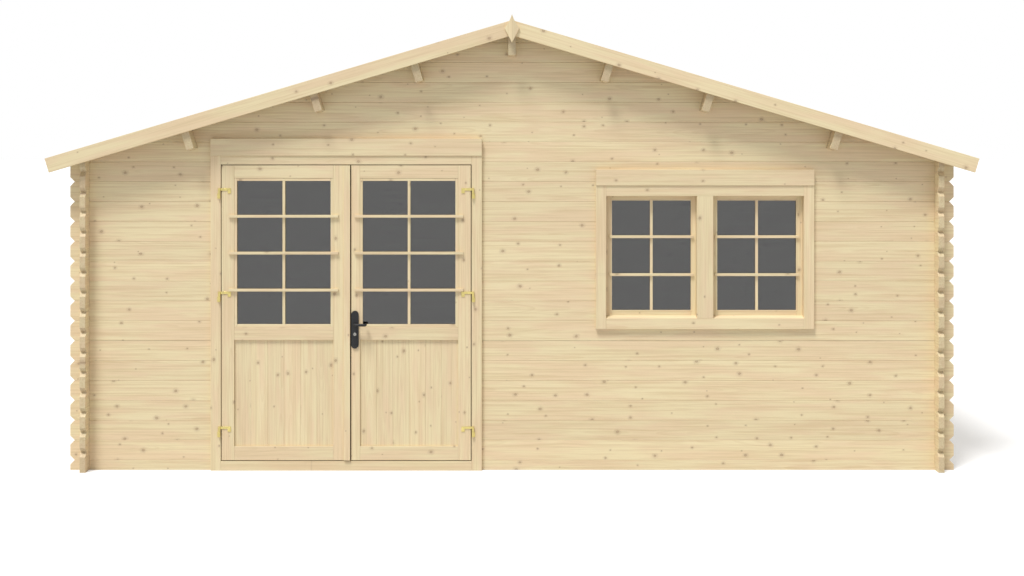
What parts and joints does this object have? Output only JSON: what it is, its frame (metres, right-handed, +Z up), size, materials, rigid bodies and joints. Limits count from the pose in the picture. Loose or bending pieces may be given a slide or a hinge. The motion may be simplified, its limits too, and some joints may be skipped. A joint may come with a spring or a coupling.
{
  "type": "log-board garden shed",
  "caption": "Log-board garden cabin with a gable roof, an outward-opening double half-glazed door and a fixed twin window.",
  "frame": {"origin": "on the ground, in the middle of the plan over the roof's edges", "axes": "+X to the right along the front, +Y to the back, +Z up"},
  "size_m": [5.4196, 4.3412, 2.6689],
  "materials": {
    "wall_wood": "planed unpainted spruce",
    "roof_wood": "planed unpainted spruce",
    "barge_wood": "planed unpainted spruce",
    "joinery_wood": "smooth unpainted spruce",
    "floor_wood": "planed unpainted spruce",
    "glass": "clear, dark in front of the unlit room",
    "brass": "bright plated",
    "lock_metal": "dark satin powder coat"
  },
  "bodies": {
    "cabin": {"back_bargeboards": "barge_wood", "back_finial": "barge_wood", "back_gable": "wall_wood", "back_wall": "wall_wood", "door_frame_head": "joinery_wood", "door_frame_hinges": "brass", "door_head_board": "joinery_wood", "door_jambs": "joinery_wood", "door_threshold": "joinery_wood", "floor_boards": "floor_wood", "floor_joists": "floor_wood", "front_bargeboards": "barge_wood", "front_finial": "barge_wood", "front_gable": "wall_wood", "front_wall_left": "wall_wood", "front_wall_right": "wall_wood", "left_purlins": "roof_wood", "left_roof_boards": "roof_wood", "left_wall": "wall_wood", "ridge_purlin": "roof_wood", "right_purlins": "roof_wood", "right_roof_boards": "roof_wood", "right_wall": "wall_wood", "window_bars": "joinery_wood", "window_frame": "joinery_wood", "window_glass": "glass", "window_head_board": "joinery_wood", "window_mullion": "joinery_wood", "window_sashes": "joinery_wood"},
    "left_leaf": {"left_door_bars": "joinery_wood", "left_door_glass": "glass", "left_door_hinges": "brass", "left_door_panel": "joinery_wood", "left_door_rails": "joinery_wood", "left_door_stiles": "joinery_wood", "door_meeting_strip": "joinery_wood"},
    "right_leaf": {"right_door_bars": "joinery_wood", "right_door_glass": "glass", "right_door_hinges": "brass", "right_door_panel": "joinery_wood", "right_door_rails": "joinery_wood", "right_door_stiles": "joinery_wood", "door_lock_plates": "lock_metal", "door_levers": "lock_metal"}
  },
  "joints": [
    {"name": "left_leaf_swing", "type": "hinge", "parent": "cabin", "child": "left_leaf", "pos_m": [-1.718, -2.0493, 0], "axis": [0, 0, -1], "range_deg": [0, 160]},
    {"name": "right_leaf_swing", "type": "hinge", "parent": "cabin", "child": "right_leaf", "pos_m": [-0.229, -2.0493, 0], "axis": [0, 0, 1], "range_deg": [0, 160]}
  ]
}
